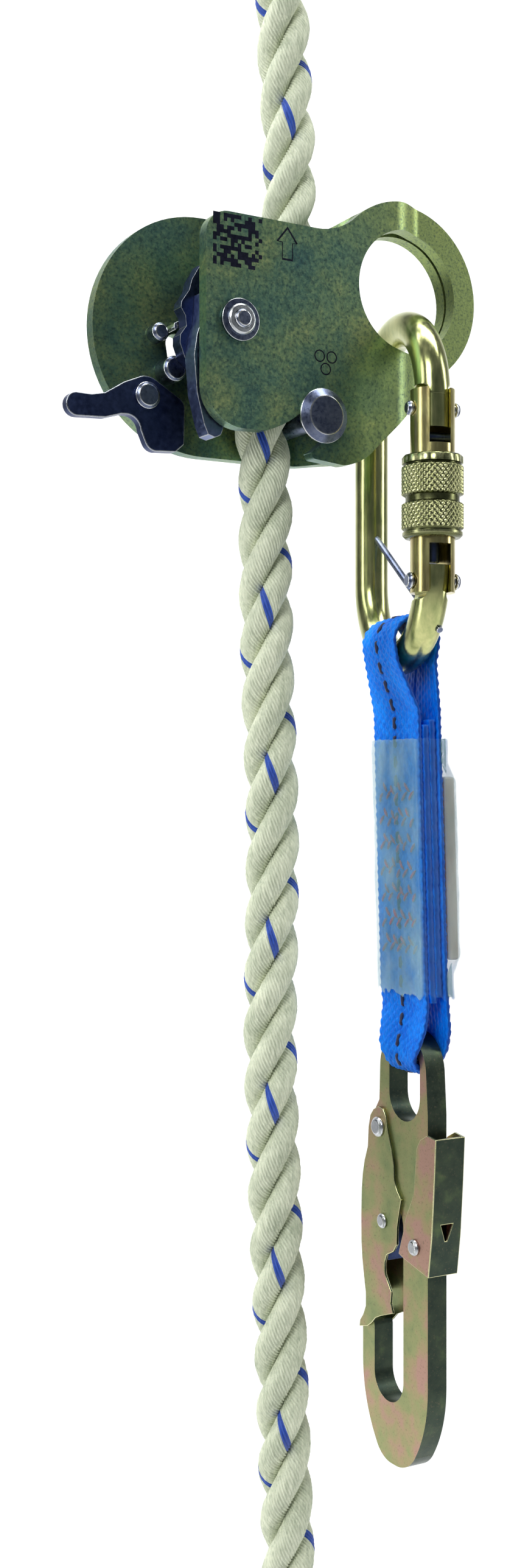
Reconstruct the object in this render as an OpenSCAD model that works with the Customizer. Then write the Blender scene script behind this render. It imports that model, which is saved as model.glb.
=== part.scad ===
// Guided rope grab on a three-strand anchor rope, with its screw-lock carabiner,
// a short webbing sling and a double-action snap hook.
// +Z runs up the rope, +X points from the rope to the eye, +Y points to the back plate.

/* [Rope] */
// Outside diameter of the anchor rope
rope_d = 15.3; // [14.5:0.1:15.6]
// Bore of the thimble in the rope's upper eye
thimble_bore = 22; // [18:1:24]

/* [Grab plates] */
// Thickness of the two steel plates
plate_t = 4; // [3.5:0.1:4.2]
// Clear gap between the two plates where the rope runs
plate_gap = 18; // [17.8:0.1:18.4]
// Radius of the back plate's round side
back_r = 34; // [32:0.5:36]
// Distance from the rope axis to the pivot axle
pivot_offset = 20; // [20:0.1:20.5]
// Outer radius of the connection eye
eye_r = 26; // [25:0.5:27]
// Radius of the hole in the connection eye
eye_hole_r = 17.75; // [17:0.25:18.5]

/* [Carabiner] */
// Bar diameter of the carabiner
bar_d = 10; // [9.6:0.1:10]
// Distance between the centres of the two straight legs
leg_gap = 48.2; // [48:0.1:48.6]
// Outside diameter of the locking sleeve
sleeve_d = 17.5; // [16.5:0.1:18]

/* [Sling] */
// Width of the sling's webbing
web_w = 25; // [24:0.5:25]
// Thickness of one webbing layer
web_t = 2; // [1.6:0.1:2]
// Thickness of the sewn stack between the two loops
stack_t = 8.7; // [8:0.1:9]

/* [Snap hook] */
// Thickness of the hook's flat body
hook_t = 6.6; // [6.3:0.1:6.7]
// Width of the hook's bowl
bowl_w = 15.1; // [14.6:0.1:15.1]

/* [Hidden] */
$fn = 64;
run = 0.05; // running clearance on a radius
e = 0.02;

// plates: y is across the gap, the rope axis lies at y = 0
gap_h = plate_gap / 2;
back_in = gap_h;
back_out = gap_h + plate_t;
front_in = -gap_h;
front_out = -gap_h - plate_t;
pivot_x = -pivot_offset;
eye_c = [36, 15.5];
hole_c = [36.9, 15.8];
back_eye_y = -3;   // mid plane of the back plate at the eye
front_eye_y = -8;  // mid plane of the front plate at the eye
axle_r = 4;
stub_r = 2.6;
stud_c = [7, -23.5];
stud_pivot_r = norm(stud_c - [pivot_x, 0]);
slot_h = 5.3;
neck_r = 5.2;
shank_r = 3.2;
stop_c = [-31.5, -11.3];
stop_r = 3.6;
guide_c = [-35, -1];
guide_r = 2.6;
lever_c = [-39.4, -19.4];
lever_y = [5, 8];
lever_shank_r = 2.2;
cam_y = [-2.6, 2];
arm_y = [-8.3, -2.7];
bush_r = 5.5;
rivet_r = 1.5;
cam_rivet_at = [[-26.5, 5], [-25.5, -9]];

// the rope's centreline, top to bottom, and its spliced eye
rope_r = rope_d / 2;
rope_route = [
    [1, 0, 104], [2, 0, 80], [3.4, 0, 58], [3.6, 0, 42], [2.8, 0, 27], [0, 0, 10],
    [-3, 0, -8], [-5.4, 0, -24], [-5, 0, -34], [-4.2, 0, -44], [-4.2, 0, -66],
    [-3.4, 0, -100], [-2, 0, -135], [-2.2, 0, -170], [-2.6, 0, -204], [-1, 0, -248],
    [1, 0, -292], [2.2, 0, -322], [3.2, 0, -346], [3.8, 0, -376]
];
rope_top = rope_route[0];
eye_loop_r = 20;
eye_loop_tube = 7;
eye_loop_z = 152;
throat_r = 10;

// carabiner, drawn with its legs along its own y
car_c = [38.6, -5.5, 0];
car_turn = -12.7;
bar_r = bar_d / 2;
leg_y = leg_gap / 2;
car_top = 6;
car_bottom = -90;
straight_top = car_top - leg_y;
straight_bottom = car_bottom + leg_y;
nose_end = -27.3;
nose_r = bar_r - 0.1;
gate_r = 6.3;
tongue_half = 3.05;  // half thickness of the nose and of the hinge tongue
slot_half = tongue_half + 0.15;
shoulder_z = [-75.3, -15.2];
gate_z = [-73.5, -16.5];
gate_core = [-60, -32];
latch_z = -21.7;
hinge_z = -70.1;
pin_r = 1.6;
cross_pin_z = -29.5;
cross_pin_r = 1.3;
sleeve_z = [-58.1, -34.9];
bar_from = [0, 20.6, -51.8];  // captive bar's ends as the carabiner is drawn
bar_to = [2.6, -22.6, -83.2];
captive_r = 1;
spring_r = 2;

// sling: its upper loop follows the carabiner, its lower loop the hook
loop_top_r = 5.9;
loop_top_z = -85.8;
loop_top_end = -106;
loop_low_r = 4.3;
loop_low_z = -204.9;
loop_low_end = -192;
// [height, value] pairs: middle of the sling, its turn and its share of the full width
sling_x = [[-203, 40], [-192, 41.3], [-106, 40.4], [-92, car_c[0]]];
sling_y = [[-198, -10.2], [-186, -8.4], [-106, -6], [-92, car_c[1]]];
sling_turn = [[-203, 0], [-192, -3], [-106, -3], [-92, car_turn]];
sling_share = [[-207.3, 0.584], [-203, 0.8], [-198, 0.92], [-190, 1]];
film_z = [-189, -114];
film_t = 0.4;
tag_z = [-178, -125];
tag_t = 3.5;

// hook, drawn in its own flat plane: y across, z up
hook_x = 40;
half_t = hook_t / 2;
hook_eye_c = [-9.3, -210.8];
hook_eye_r = 11.8;
hole_y = -10.2;     // middle of the hook's eye opening
hole_half = 7.8;
spine_y = -21.9;
bowl_c = [-2.1, -301.9];
bowl_r = bowl_w / 2;
nose_half = 3.15;
tip_z = -286;
keeper_c = [2, -228.9];
keeper_pin_c = [-0.2, -256.4];
lock_c = [-18, -260.2];
keeper_in = half_t + 0.1;
keeper_t = 0.8;
lock_in = keeper_in + keeper_t + 0.15;
lock_t = 0.8;
rivet_shank = 2;

// ---------- helpers ----------

// points of an arc about c, from angle a0 to a1
function arc(c, r, a0, a1, n = 12) =
    [for (i = [0:n]) c + r * [cos(a0 + (a1 - a0) * i / n), sin(a0 + (a1 - a0) * i / n)]];

// an (x, z) outline made solid from y0 to y1
module xz(y0, y1) {
    translate([0, y1, 0]) rotate([90, 0, 0]) linear_extrude(y1 - y0) children();
}

// a (y, z) outline made solid from x0 to x1
module yz(x0, x1) {
    translate([x0, 0, 0]) rotate([90, 0, 90]) linear_extrude(x1 - x0) children();
}

// a round bar along y at c = [x, z]
module rod_y(c, r, y0, y1) {
    translate([c[0], y0, c[1]]) rotate([-90, 0, 0]) cylinder(r = r, h = y1 - y0);
}

// a round bar along x at c = [y, z]
module rod_x(c, r, x0, x1) {
    translate([x0, c[0], c[1]]) rotate([0, 90, 0]) cylinder(r = r, h = x1 - x0);
}

// a turned piece along y at c = [x, z], from its [radius, y] outline
module turned_y(c, outline) {
    translate([c[0], 0, c[1]]) rotate([-90, 0, 0]) rotate_extrude() polygon(outline);
}

// a ring along y
module ring_y(c, r_in, r_out, y0, y1) {
    turned_y(c, [[r_in, y0], [r_out, y0], [r_out, y1], [r_in, y1]]);
}

// a rivet across the hook or the carabiner: shank along x with a round head at each end
module rivet_x(c, r, x_head, x_end, r_head) {
    translate([0, c[0], c[1]]) rotate([0, 90, 0]) rotate_extrude()
        polygon([
            [0, -x_end], [r_head * 0.7, -x_end], [r_head, -x_head - 0.5], [r_head, -x_head],
            [r, -x_head], [r, x_head], [r_head, x_head], [r_head, x_head + 0.5],
            [r_head * 0.7, x_end], [0, x_end]
        ]);
}

// a stack of wire rings that stands for a coil spring, along z
module coil(r, wire, z0, turns) {
    for (i = [0:turns - 1])
        translate([0, 0, z0 + wire * (0.5 + 0.94 * i)])
            rotate_extrude($fn = 32) translate([r - wire / 2, 0]) circle(wire / 2, $fn = 14);
}

// ---------- grab plates ----------

// side profile of a plate that steps from y0 to y1 between x0 and x1, in (x, y)
function step_slope(x0, x1, y0, y1, i, n) = (y1 - y0) * PI / 2 / (x1 - x0) * sin(180 * i / n);
function step_face(x0, x1, y0, y1, side, n = 10) = [
    for (i = [0:n])
        let (s = step_slope(x0, x1, y0, y1, i, n))
        [x0 + (x1 - x0) * i / n, y0 + (y1 - y0) * (1 - cos(180 * i / n)) / 2]
            + side * plate_t / 2 * [-s, 1] / norm([s, 1])
];
module step_profile(x0, x1, y0, y1) {
    upper = step_face(x0, x1, y0, y1, 1);
    lower = step_face(x0, x1, y0, y1, -1);
    h = plate_t / 2;
    translate([0, 0, -60]) linear_extrude(120)
        polygon(concat(
            [[-70, y0 - h], [-70, y0 + h]], upper, [[80, y1 + h], [80, y1 - h]],
            [for (i = [len(lower) - 1:-1:0]) lower[i]]
        ));
}

module eye_cut() {
    rod_y(hole_c, eye_hole_r, -30, 30);
}

module back_plate() {
    fillet_c = [13.3, 46];
    color("olivedrab") difference() {
        intersection() {
            xz(-30, 30) polygon(concat(
                arc([pivot_x, 0], back_r, 90, 270, 40),
                [[10, -back_r], [17, -33.6]], arc([12, -20], 16.8, -55, -46, 3),
                arc(eye_c, eye_r, -47.5, 126.7, 40),
                arc(fillet_c, 12, -53.3, -90, 6)
            ));
            step_profile(10.5, 26, (back_in + back_out) / 2, back_eye_y);
        }
        eye_cut();
        rod_y([pivot_x, 0], axle_r + e, 0, 30);
        rod_y(stud_c, shank_r + e, 0, 30);
        rod_y(stop_c, stop_r - 0.6 + e, 0, 30);
        rod_y(guide_c, guide_r - 0.6 + e, 0, 30);
        rod_y(lever_c, lever_shank_r + e, 0, 30);
        // window above the stop pin
        rod_y([-28.5, -3], 3, 0, 30);
        xz(0, 30) polygon([[-31.5, -3], [-25.5, -3], [-26.4, -6.6], [-30.9, -6.9]]);
    }
}

module front_plate() {
    fillet_c = [5, 48.4];
    finger_c = [4.6, -34.5];
    p = [pivot_x, 0];
    color("darkkhaki") difference() {
        intersection() {
            xz(-30, 0) polygon(concat(
                arc([-23.3, 22.4], 7, 180, 90, 8),
                arc(fillet_c, 19.2, -90, -46.7, 8),
                arc(eye_c, eye_r, 133.3, -47.5, 40),
                arc([12, -20], 16.8, -42, -84, 8), arc(finger_c, 1.3, -100, -190, 5),
                [[-10.6, -29.3]],
                arc([-18.8, -18], 11.5, 270, 180, 10)
            ));
            step_profile(32, 42, (front_in + front_out) / 2, front_eye_y);
        }
        eye_cut();
        rod_y(p, axle_r + run, -30, 0);
        // curved slot about the axle that takes the closing stud
        rod_y(stud_c, slot_h, -30, 0);
        xz(-30, 0) polygon(concat(
            arc(p, stud_pivot_r - slot_h, -41, -76, 10), arc(p, stud_pivot_r + slot_h, -76, -41, 10)
        ));
    }
}

module pivot_axle() {
    color("slategray") turned_y([pivot_x, 0], [
        [0, front_out - 3.2], [stub_r - 0.6, front_out - 3.2], [stub_r, front_out - 2.6],
        [stub_r, front_out - 0.1], [axle_r, front_out - 0.1], [axle_r, back_out + e],
        [6.6, back_out + e], [6.6, back_out + 1.4], [5.2, back_out + 2.6], [0, back_out + 2.6]
    ]);
}

module axle_washer() {
    color("gray") ring_y([pivot_x, 0], stub_r + e, 5.85, front_out - 1.1, front_out - 0.12);
}

module axle_collar() {
    y1 = front_out - 1.12;
    color("silver") turned_y([pivot_x, 0], [
        [stub_r + e, y1 - 1.2], [3.7, y1 - 1.2], [4.3, y1 - 0.6], [4.3, y1], [stub_r + e, y1]
    ]);
}

module axle_spacers() {
    color("dimgray") {
        ring_y([pivot_x, 0], axle_r + e, 7, front_in + 0.1, arm_y[0] - 0.1);
        ring_y([pivot_x, 0], axle_r + e, 7, cam_y[1] + 0.1, back_in - 0.05);
    }
}

module closing_stud() {
    color("slategray") turned_y(stud_c, [
        [0, front_out - 2.2], [5.4, front_out - 2.2], [7.8, front_out - 0.6],
        [7.8, front_out - 0.15], [neck_r, front_out - 0.15], [neck_r, front_in + 0.2],
        [shank_r, front_in + 0.9], [shank_r, back_out + e], [5.6, back_out + e],
        [5.6, back_out + 1], [4.4, back_out + 2], [0, back_out + 2]
    ]);
}

// a plain pin riveted into the back plate, with a chamfered face
module plate_pin(c, r, face_y) {
    turned_y(c, [
        [0, face_y], [r - 0.8, face_y], [r, face_y + 0.8], [r, back_in - e],
        [r - 0.6, back_in - e], [r - 0.6, back_out + e], [r, back_out + e],
        [r - 0.8, back_out + 1.1], [0, back_out + 1.1]
    ]);
}

module stop_pin() {
    color("dimgray") plate_pin(stop_c, stop_r, cam_y[1] + 0.2);
}

module guide_pin() {
    color("dimgray") plate_pin(guide_c, guide_r, 4.3);
}

// thin wedge-shaped leaf spring between the guide pin and the cam
module spring_blade() {
    color("gainsboro") xz(cam_y[1] + 0.4, back_in - 0.3)
        polygon([[-32.1, 1.2], [-27.4, 3.4], [-26.9, 2.8], [-31.6, -0.6], [-32.2, -0.2]]);
}

// ---------- cam ----------

module cam() {
    nose_c = [-21.8, 6];
    nose = [for (i = [0:18]) nose_c + (i % 2 == 0 ? 13.6 : 12.7) * [cos(5 * i - 40), sin(5 * i - 40)]];
    // direction of the rope between the plates
    lean = atan2(rope_route[4][0] - rope_route[6][0], rope_route[4][2] - rope_route[6][2]);
    color("slategray") difference() {
        union() {
            xz(cam_y[0], cam_y[1]) polygon(concat(nose, [
                [-16, 17.5], [-21, 19], [-26.5, 17], [-29.2, 12.5], [-30, 9.5], [-32.4, 6],
                [-32.6, 4.4], [-31.2, 2.2], [-30.9, -0.6], [-32.8, -3.2], [-32.9, -5.5],
                [-31.4, -9.4], [-27.5, -12.6], [-20, -12], [-13.6, -6.5]
            ]));
            difference() {
                xz(-7.4, 7.4) polygon(concat(nose, arc(nose_c, 9, 50, -40, 12)));
                rod_y([pivot_x, 0], 7.4, -10, 10);
            }
        }
        rod_y([pivot_x, 0], bush_r + e, -10, 10);
        for (c = cam_rivet_at) rod_y(c, rivet_r + e, -10, 10);
        // hollow that follows the rope
        translate([0, 0, 10]) rotate([0, lean, 0]) cylinder(r = 10.2, h = 80, center = true);
        // room for the arm's plate
        xz(-10, cam_y[0]) polygon(arm_outline(0.4));
    }
}

// outline of the arm, grown by g at its upper right
function arm_outline(g = 0) = concat(
    [[-31.5, -9.7], [-30.6, -20], [-28.4, -28.4], [-27.1, -31.2], [-25, -31.8], [-23.2, -31],
     [-22.5, -29.3], [-20.5, -20], [-14.6, -7]],
    arc([pivot_x, 0], 8 + g, -40, 130, 12),
    [[-28.6, 8], [-29.2, 0], [-30.6, -4]]
);

module cam_arm() {
    color("lightslategray") difference() {
        xz(arm_y[0], arm_y[1]) polygon(arm_outline());
        rod_y([pivot_x, 0], bush_r + e, -10, 0);
        for (c = cam_rivet_at) rod_y(c, rivet_r + e, -10, 0);
    }
}

module cam_bush() {
    color("darkgoldenrod") ring_y([pivot_x, 0], axle_r + run, bush_r, arm_y[0], cam_y[1]);
}

module cam_rivets() {
    color("gray") for (c = cam_rivet_at) rod_y(c, rivet_r, arm_y[0], cam_y[1]);
}

// ---------- release lever ----------

module release_lever() {
    tip = [-60.3, -23.8];
    color("darkslategray") difference() {
        xz(lever_y[0], lever_y[1]) polygon(concat(
            arc(tip, 3.3, 82, 272, 12),
            [[-52, -26.7], [-47, -25.2]], arc([-45.5, -29.5], 4.4, 84, 4, 6),
            arc([-36.4, -31], 3.6, 200, 282, 6), [[-30.4, -34.2], [-27.6, -31.8], [-27.4, -24]],
            arc([-30.4, -21.6], 3, 0, 50, 4),
            arc(lever_c, 5.6, 58, 120, 6), [[-46.2, -16.2], [-52, -19.8], [-56, -20.6]]
        ));
        rod_y(lever_c, lever_shank_r + run, 0, 10);
    }
}

module lever_rivet() {
    y0 = lever_y[0] - 0.1;
    color("silver") turned_y(lever_c, [
        [0, y0 - 1.6], [2.9, y0 - 1.6], [3.2, y0 - 1.2], [3.8, y0 - 0.9], [3.8, y0],
        [lever_shank_r, y0], [lever_shank_r, back_out + e], [3.8, back_out + e],
        [2.8, back_out + 1.2], [0, back_out + 1.2]
    ]);
}

// flat torsion spring round the rivet, between the lever and the back plate
module lever_spring() {
    color("gainsboro") {
        ring_y(lever_c, 3.1, 3.8, lever_y[1] + 0.15, back_in - 0.15);
        ring_y(lever_c, 4.2, 4.9, lever_y[1] + 0.15, back_in - 0.15);
        translate([lever_c[0], lever_y[1] + 0.15, lever_c[1] + 3.4]) cube([6, 0.7, 0.8]);
        translate([lever_c[0] - 0.4, lever_y[1] + 0.15, lever_c[1] - 4.6]) cube([0.8, 0.7, 1.2]);
    }
}

// ---------- rope ----------

function turn_at(p, i) =
    let (a = p[max(i - 1, 0)], b = p[min(i + 1, len(p) - 1)]) (b - a) / norm(b - a);
function rope_ring(c, t, r, n) = [
    for (k = [0:n - 1]) c + r * (cos(360 * k / n) * [0, 1, 0] + sin(360 * k / n) * cross([0, 1, 0], t))
];

// a tube along the points p, which lie in the plane y = 0
module tube(p, r, n = 12) {
    pts = [for (i = [0:len(p) - 1]) each rope_ring(p[i], turn_at(p, i), r, n)];
    last = (len(p) - 1) * n;
    sides = [
        for (i = [0:len(p) - 2], k = [0:n - 1])
            [i * n + k, i * n + (k + 1) % n, (i + 1) * n + (k + 1) % n, (i + 1) * n + k]
    ];
    polyhedron(pts, concat(
        sides, [[for (k = [n - 1:-1:0]) k]], [[for (k = [0:n - 1]) last + k]]
    ));
}

module anchor_rope() {
    color("ivory") tube(rope_route, rope_r);
}

// the rope's upper eye with the tucked splice below it
module eye_splice() {
    low = rope_top[2] + 0.4;
    taper = 14;
    color("beige") difference() {
        translate([rope_top[0], 0, 0]) {
            translate([0, 0, low]) cylinder(r1 = rope_r, r2 = throat_r, h = taper);
            translate([0, 0, low + taper]) cylinder(r = throat_r, h = 15);
            translate([0, 0, eye_loop_z]) rotate([90, 0, 0])
                rotate_extrude() translate([eye_loop_r, 0]) circle(eye_loop_tube);
        }
        rod_y([rope_top[0], eye_loop_z], eye_loop_r - eye_loop_tube, -20, 20);
        rod_y([rope_top[0], eye_loop_z], 17.3, -20, -eye_loop_tube + 1.2);
        rod_y([rope_top[0], eye_loop_z], 17.3, eye_loop_tube - 1.2, 20);
    }
}

module thimble() {
    bore = thimble_bore / 2;
    groove = eye_loop_tube + 0.25;
    color("silver") turned_y([rope_top[0], eye_loop_z], concat(
        [[bore, -8.5], [16.8, -8.5], [16.8, -6.6]],
        [for (a = [250:-20:110]) [eye_loop_r + groove * cos(a), groove * sin(a)]],
        [[16.8, 6.6], [16.8, 8.5], [bore, 8.5]]
    ));
}

module splice_whipping() {
    color("royalblue") translate([rope_top[0], 0, rope_top[2] + 14.6]) rotate_extrude()
        polygon([
            [throat_r + 0.05, 0], [throat_r + 0.8, 0.6], [throat_r + 0.8, 7.2], [throat_r + 0.05, 7.8]
        ]);
}

module rope_whipping() {
    color("royalblue") translate([3.6, 0, -370]) rotate_extrude()
        polygon([[rope_r + 0.25, 0], [rope_r + 1, 0.6], [rope_r + 1, 12.4], [rope_r + 0.25, 13]]);
}

// ---------- carabiner ----------

// places what is drawn in the carabiner's own plane
module in_carabiner() {
    translate(car_c) rotate([0, 0, car_turn]) children();
}

// half a ring in the (y, z) plane, from angle a0 over 180 degrees
module bow(z, a0) {
    translate([0, 0, z]) rotate([90, 0, 90])
        rotate_extrude(angle = 180, start = a0, $fn = 96) translate([leg_y, 0]) circle(bar_r);
}

// a bar from p to q
module slant_bar(p, q, r) {
    d = q - p;
    translate(p) rotate([0, acos(d[2] / norm(d)), atan2(d[1], d[0])]) cylinder(r = r, h = norm(d));
}

// flat milled on the side s of the near leg, from z0 up to z1, round at the end at z_round
module leg_flat(s, z0, z1, z_round) {
    w = 1.5;
    inner = z_round + (z_round > z0 ? -w : w);
    translate([0, -leg_y + 12, 0]) rotate([90, 0, 0]) linear_extrude(24) scale([s, 1])
        polygon(concat(
            [[12, z0], [12, z1]],
            z_round > z0 ? [for (a = [90:15:180]) [tongue_half + w + w * cos(a), inner + w * sin(a)]]
                         : [[tongue_half, z1]],
            z_round > z0 ? [[tongue_half, z0]]
                         : [for (a = [180:15:270]) [tongue_half + w + w * cos(a), inner + w * sin(a)]]
        ));
}

module carabiner_body() {
    color("darkkhaki") in_carabiner() difference() {
        union() {
            bow(straight_top, 0);
            bow(straight_bottom, 180);
            translate([0, leg_y, straight_bottom]) cylinder(r = bar_r, h = straight_top - straight_bottom);
            translate([0, -leg_y, nose_end]) cylinder(r = nose_r, h = straight_top - nose_end);
            // hinge tongue, round about the hinge
            intersection() {
                translate([0, -leg_y, straight_bottom]) cylinder(r = nose_r, h = 8);
                rod_x([-leg_y, hinge_z], nose_r, -bar_r, bar_r);
            }
        }
        for (s = [-1, 1]) {
            leg_flat(s, nose_end - 1, shoulder_z[1], shoulder_z[1]);
            leg_flat(s, shoulder_z[0], -60, shoulder_z[0]);
        }
        // notch that the latch rivet slips into as the gate shuts
        rod_x([-leg_y, latch_z], pin_r + 0.15, -9, 9);
        translate([-9, -leg_y, latch_z - pin_r - 0.6]) cube([18, 9, 2 * pin_r + 0.75]);
        rod_x([-leg_y, hinge_z], pin_r + e, -9, 9);
        slant_bar(bar_from, bar_to + (bar_to - bar_from) * 0.1, captive_r + e);
    }
}

module captive_bar() {
    reach = (bar_to - bar_from) / norm(bar_to - bar_from);
    color("silver") in_carabiner() slant_bar(bar_from, bar_to + 0.9 * reach, captive_r);
}

module carabiner_gate() {
    back_y = 5.2;
    color("palegoldenrod") in_carabiner() translate([0, -leg_y, 0]) difference() {
        translate([0, 0, gate_z[0]]) cylinder(r = gate_r, h = gate_z[1] - gate_z[0]);
        // slots for the nose and the hinge tongue, open towards the outside
        translate([-slot_half, -10, gate_core[1]]) cube([2 * slot_half, 10 + back_y, 30]);
        translate([-slot_half, -10, gate_core[0] - 4]) cube([2 * slot_half, 10 + back_y, 4]);
        translate([-slot_half, -10, gate_z[0] - 1]) cube([2 * slot_half, 20, gate_core[0] - 3 - gate_z[0]]);
        rod_x([0, latch_z], pin_r - 0.1 + e, -9, 9);
        rod_x([0, cross_pin_z], cross_pin_r + e, -slot_half - 1, slot_half + 1);
        rod_x([0, hinge_z], pin_r + run, -9, 9);
        translate([0, 0, gate_core[0] - 1]) cylinder(r = spring_r + 0.2, h = 15);
    }
}

module gate_cross_pin() {
    color("dimgray") in_carabiner()
        rod_x([-leg_y, cross_pin_z], cross_pin_r, -slot_half - 0.9, slot_half + 0.9);
}

module gate_latch_rivet() {
    color("gray") in_carabiner() rivet_x([-leg_y, latch_z], pin_r - 0.1, gate_r + 0.25, 8, 2.1);
}

module gate_hinge_rivet() {
    color("gray") in_carabiner() rivet_x([-leg_y, hinge_z], pin_r, gate_r + 0.25, 8, 2.4);
}

module gate_spring() {
    color("silver") in_carabiner() translate([0, -leg_y, 0]) coil(spring_r, 0.7, -59.2, 19);
}

module gate_plunger() {
    color("gray") in_carabiner() translate([0, -leg_y, -65]) cylinder(r = 1.8, h = 5.7);
}

module lock_sleeve() {
    z0 = sleeve_z[0];
    z1 = sleeve_z[1];
    r = sleeve_d / 2;
    bore = gate_r + 0.08;
    color("palegoldenrod") in_carabiner() translate([0, -leg_y, 0]) rotate_extrude(convexity = 4)
        polygon([
            [bore, z0], [r - 1, z0], [r - 0.2, z0 + 0.8], [r - 0.2, z0 + 1.6], [r - 0.7, z0 + 2],
            [r, z0 + 2.4], [r, z0 + 9.7], [r - 1.1, z0 + 10.1], [r - 1.1, z0 + 11.7],
            [r, z0 + 12.1], [r, z1 - 3], [r - 0.9, z1 - 2.6], [r - 0.9, z1 - 2.2],
            [r, z1 - 1.9], [r, z1 - 0.6], [r - 0.6, z1], [bore, z1]
        ]);
}

// ---------- sling ----------

// a point drawn in the sling's own section, moved to where the sling is at its height
function in_sling(x, y, z) =
    let (t = lookup(z, sling_turn), w = y * lookup(z, sling_share))
    [lookup(z, sling_x) + x * cos(t) - w * sin(t), lookup(z, sling_y) + x * sin(t) + w * cos(t), z];

// a bar of the section x0..x1 by y0..y1 that follows the sling from z0 up to z1
module turned_bar(x0, x1, y0, y1, z0, z1, n = 10) {
    pts = [
        for (i = [0:n], q = [[x0, y0], [x1, y0], [x1, y1], [x0, y1]])
            in_sling(q[0], q[1], z0 + (z1 - z0) * i / n)
    ];
    sides = [
        for (i = [0:n - 1], k = [0:3])
            each [[i * 4 + k, (i + 1) * 4 + k, i * 4 + (k + 1) % 4],
                  [i * 4 + (k + 1) % 4, (i + 1) * 4 + k, (i + 1) * 4 + (k + 1) % 4]]
    ];
    top = n * 4;
    polyhedron(pts, concat(
        sides, [[0, 1, 2], [0, 2, 3]], [[top + 2, top + 1, top], [top + 3, top + 2, top]]
    ));
}

// side outline of a loop: round end at z, then running to the stack at z_end
function loop_outline(r, z, z_end, half, dir) = concat(
    arc([0, z], r, 180, 180 - dir * 180, 20),
    [[r, z - dir * 6.2], [half, z_end], [-half, z_end], [-r, z - dir * 6.2]]
);

// the webbing between two outlines of equal length, as wide as the sling is there
module loop_band(outer, inner, dir) {
    n = len(outer);
    pts = concat(
        [for (y = [-1, 1], p = outer) in_sling(p[0], y * web_w / 2, p[1])],
        [for (y = [-1, 1], p = inner) in_sling(p[0], y * web_w / 2, p[1])]
    );
    quads = [
        for (i = [0:n - 1])
            let (j = (i + 1) % n)
            each [[i, j, n + j, n + i], [2 * n + j, 2 * n + i, 3 * n + i, 3 * n + j],
                  [j, i, 2 * n + i, 2 * n + j], [n + i, n + j, 3 * n + j, 3 * n + i]]
    ];
    faces = [for (q = quads) each [[q[0], q[1], q[2]], [q[0], q[2], q[3]]]];
    polyhedron(pts, dir < 0 ? faces : [for (f = faces) [f[2], f[1], f[0]]]);
}

module webbing_sling() {
    half = stack_t / 2;
    color("royalblue") {
        loop_band(
            loop_outline(loop_top_r + web_t, loop_top_z, loop_top_end, half, 1),
            loop_outline(loop_top_r, loop_top_z, loop_top_end + 1, 0.2, 1), 1
        );
        turned_bar(-half, half, -web_w / 2, web_w / 2, loop_low_end, loop_top_end);
        loop_band(
            loop_outline(loop_low_r + web_t, loop_low_z, loop_low_end, half, -1),
            loop_outline(loop_low_r, loop_low_z, loop_low_end - 1, 0.2, -1), -1
        );
    }
}

module id_tag() {
    x0 = stack_t / 2 + 0.2;
    color("lightgray") turned_bar(x0, x0 + tag_t, -web_w / 2, web_w / 2, tag_z[0], tag_z[1], 8);
}

module clear_sleeve() {
    x0 = -stack_t / 2 - 0.3;
    x1 = stack_t / 2 + tag_t + 0.5;
    y1 = web_w / 2 + 0.3;
    color("lightblue", 0.5) difference() {
        turned_bar(x0 - film_t, x1 + film_t, -y1 - film_t, y1 + film_t, film_z[0], film_z[1], 8);
        turned_bar(x0, x1, -y1, y1, film_z[0] - 9, film_z[1] + 4, 8);
    }
}

// ---------- snap hook ----------

// places what is drawn about the middle of the hook's thickness
module in_hook() {
    translate([hook_x, 0, 0]) children();
}

module hook_body() {
    corner = 3;
    color("tan") in_hook() difference() {
        yz(-half_t, half_t) difference() {
            polygon(concat(
                arc(hook_eye_c, hook_eye_r, 0, 180, 24), [[spine_y, -222]],
                arc([15.6, -301], 37.5, 180, 214.2, 10), arc([-5.6, -315.4], 11.9, 214.2, 268, 10),
                arc([-3.3, -318.1], 9.2, 272, 324, 10), arc([-28.25, -300], 40, -36, 0, 10),
                arc([bowl_c[0] + bowl_r + nose_half, tip_z - nose_half], nose_half, 0, 180, 8),
                [[0, tip_z - nose_half], [0, -246.5], [4.6, -246.5], [6.8, -237], [7.1, -229],
                 [5.6, -224.8], [2.9, -221]]
            ));
            // eye for the sling, with small corners at its top
            translate([hole_y, -217.6]) circle(hole_half);
            translate([hole_y - hole_half, -217.6]) square([2 * hole_half, 9.1]);
            for (s = [-1, 1]) translate([hole_y + s * (hole_half - corner), -208.5]) circle(corner);
            translate([hole_y - hole_half + corner, -208.5]) square([2 * (hole_half - corner), corner]);
            // bowl and the space behind the keeper
            translate(bowl_c) circle(bowl_r);
            translate([bowl_c[0] - bowl_r, bowl_c[1]]) square([bowl_w, 45]);
            translate([bowl_c[0], bowl_c[1] + 45]) circle(bowl_r);
        }
        rod_x(keeper_c, rivet_shank + e, -10, 10);
        rod_x(lock_c, rivet_shank - 0.4 + e, -10, 10);
        // pocket for the keeper's spring
        rod_x(keeper_c, 4.4, 0, 10);
        yz(0, 10) translate([keeper_c[0] - 0.2, keeper_c[1] - 22]) square([3.4, 22]);
    }
}

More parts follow.
